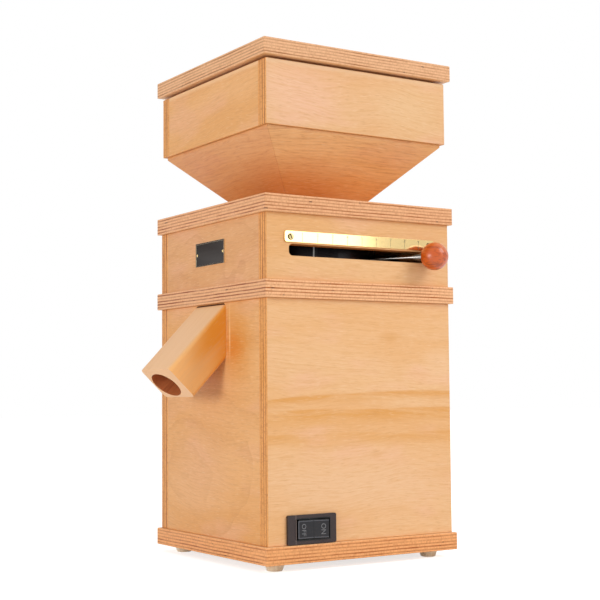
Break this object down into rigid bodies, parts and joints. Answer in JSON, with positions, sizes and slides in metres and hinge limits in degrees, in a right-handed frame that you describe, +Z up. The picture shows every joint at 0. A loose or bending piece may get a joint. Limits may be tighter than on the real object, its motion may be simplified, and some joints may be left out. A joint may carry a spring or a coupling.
{
  "type": "electric grain mill",
  "caption": "Electric stone mill for grain in a square plywood housing, with a hopper and lid, a slanted wooden flour spout, a grind lever with a ball knob on a brass scale, and a rocker switch.",
  "frame": {"origin": "centre of the base board's underside, on the axis of the motor and the millstones; the feet reach 6.2 mm below it", "axes": "+Z up along the mill axis, -Y towards the flour spout, +X towards the grind lever and the switch"},
  "size_m": [0.2109, 0.244, 0.4212],
  "materials": {
    "plywood": "oiled plywood with beech faces, matt",
    "solid_beech": "oiled solid wood, matt",
    "cherry": "turned and lacquered cherry wood",
    "bright_steel": "polished steel",
    "plated_steel": "zinc plated",
    "cast_aluminium": "as cast",
    "black_ring": "black, satin",
    "brass": "polished",
    "millstone": "rough",
    "felt": "pressed felt",
    "rubber": "matt",
    "black_plastic": "satin",
    "white_plastic": "matt",
    "black_plate": "black, gloss",
    "core_steel": "stacked sheets",
    "copper": "varnished winding wire"
  },
  "bodies": {
    "lower_body": {"base_board": "plywood", "feet": "solid_beech", "foot_screws": "plated_steel", "lower_wall_front": "plywood", "lower_wall_back": "plywood", "lower_wall_left": "plywood", "lower_wall_right": "plywood", "motor_shelf": "plywood", "shelf_cleats": "solid_beech", "locating_pegs": "solid_beech", "spout_block": "solid_beech", "cable_gland": "black_plastic", "motor_housing": "cast_aluminium", "motor_top_shield": "cast_aluminium", "motor_bottom_shield": "cast_aluminium", "motor_bolts": "plated_steel", "motor_bearings": "bright_steel", "stator_core": "core_steel", "stator_winding": "copper", "run_capacitor": "white_plastic", "chamber_bowl": "cast_aluminium", "chamber_bolts": "plated_steel", "chamber_felt": "felt", "shaft_seal": "rubber", "rocker_switch_frame": "black_plastic", "switch_pivot": "plated_steel"},
    "rotor": {"rotor_core": "core_steel", "motor_shaft": "bright_steel", "cooling_fan": "black_plastic", "stone_carrier": "cast_aluminium", "lower_stone": "millstone", "carrier_nut": "plated_steel"},
    "rocker": {"switch_rocker": "black_plastic"},
    "upper_unit": {"middle_board": "plywood", "bearing_ring": "cast_aluminium", "guide_pins": "bright_steel", "ring_keepers": "plated_steel", "keeper_screws": "plated_steel", "upper_wall_front": "plywood", "upper_wall_back": "plywood", "upper_wall_left": "plywood", "upper_wall_right": "plywood", "scale_plate": "brass", "scale_screws": "brass", "front_plate": "black_plate", "plate_pins": "plated_steel", "top_board": "plywood", "feed_tube": "bright_steel", "funnel_boards": "plywood", "hopper_wall_front": "plywood", "hopper_wall_back": "plywood", "hopper_wall_left": "plywood", "hopper_wall_right": "plywood"},
    "lever": {"adjusting_ring": "black_ring", "lever_rod": "bright_steel", "ball_knob": "cherry"},
    "upper_stone_unit": {"upper_stone": "millstone", "stone_holder": "cast_aluminium"},
    "lid": {"lid_board": "plywood", "lid_panel": "plywood"}
  },
  "joints": [
    {"name": "rotor_spin", "type": "hinge", "parent": "lower_body", "child": "rotor", "pos_m": [0, 0, 0.1], "axis": [0, 0, 1], "continuous": true},
    {"name": "switch_tip", "type": "hinge", "parent": "lower_body", "child": "rocker", "pos_m": [0.0882, -0.05105, 0.0262], "axis": [0, 0, 1], "range_deg": [0, 12]},
    {"name": "lift_upper_unit", "type": "slide", "parent": "lower_body", "child": "upper_unit", "axis": [0, 0, 1], "range_m": [0, 0.12]},
    {"name": "lever_swing", "type": "hinge", "parent": "upper_unit", "child": "lever", "pos_m": [0, 0, 0.2467], "axis": [0, 0, 1], "range_deg": [-64, 0]},
    {"name": "stone_rise", "type": "slide", "parent": "upper_unit", "child": "upper_stone_unit", "axis": [0, 0, 1], "range_m": [0, 0.0016]},
    {"name": "lift_lid", "type": "slide", "parent": "upper_unit", "child": "lid", "axis": [0, 0, 1], "range_m": [0, 0.15]}
  ],
  "couplings": [
    {"joint": "stone_rise", "follows": "lever_swing", "m_per_rad": -0.0014324}
  ]
}
